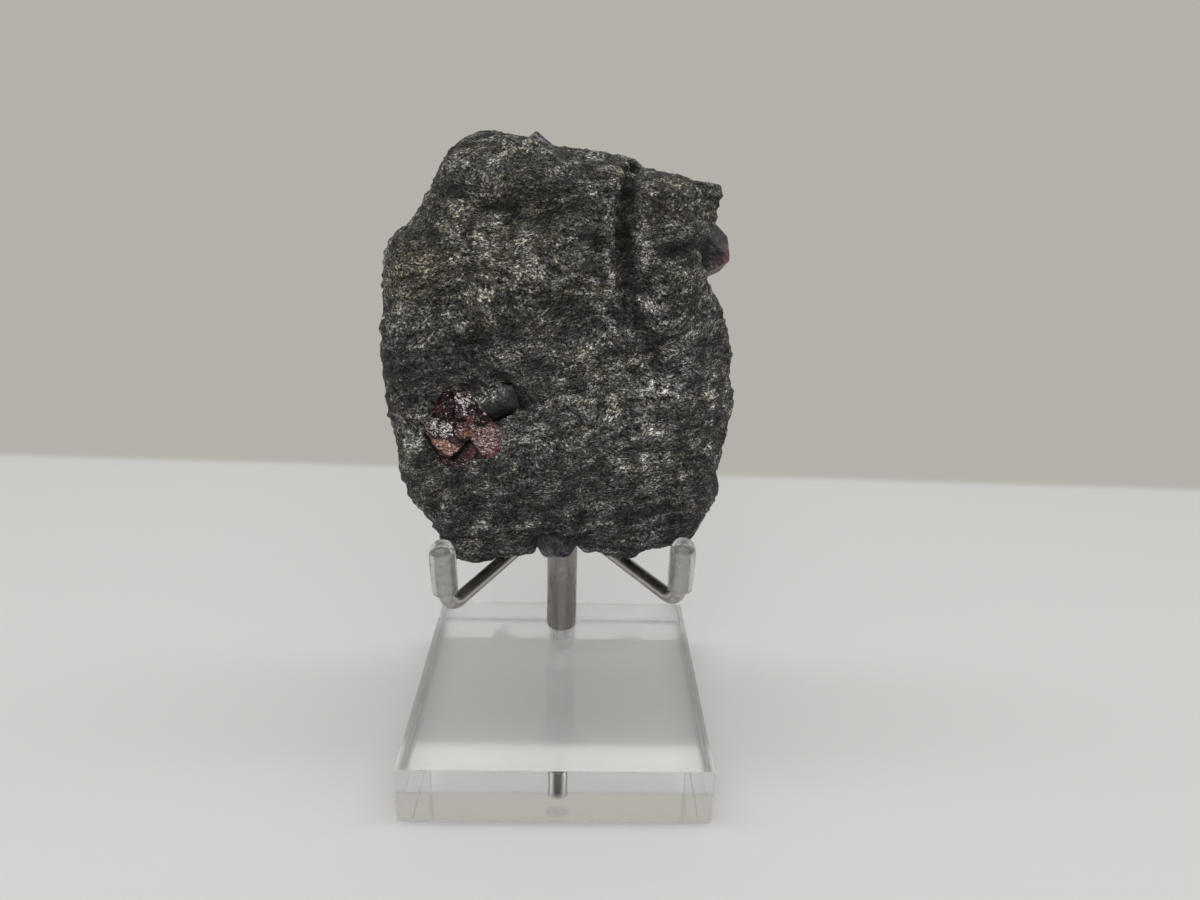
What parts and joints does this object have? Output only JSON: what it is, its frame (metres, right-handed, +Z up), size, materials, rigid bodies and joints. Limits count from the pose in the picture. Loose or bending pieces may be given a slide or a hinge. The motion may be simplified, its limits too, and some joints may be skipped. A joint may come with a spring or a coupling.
{
  "type": "garnet in matrix on a display stand",
  "caption": "Dark mica schist slab with embedded garnet crystals, leaning on a clear block stand with bent wire arms and clear tip caps.",
  "frame": {"origin": "centre of the clear base block's flat underside", "axes": "+Z up, +X to the right along the block's front edge, +Y away from the front; the stone's broken garnet faces -Y"},
  "size_m": [0.0716, 0.0636, 0.1302],
  "materials": {
    "schist": "matte",
    "garnet": "gloss",
    "coated_garnet": "satin",
    "acrylic": "polished",
    "steel": "gloss",
    "vinyl": "gloss"
  },
  "bodies": {
    "root": {"matrix": "schist", "garnet_front_broken": "garnet", "garnet_front_small": "coated_garnet", "garnet_right": "coated_garnet", "garnet_top": "coated_garnet", "garnet_bottom": "coated_garnet", "garnet_left": "coated_garnet", "base_block": "acrylic", "post": "steel", "arm_left": "steel", "arm_right": "steel", "arm_back": "steel", "cap_left": "vinyl", "cap_right": "vinyl", "cap_back": "vinyl"}
  },
  "joints": []
}
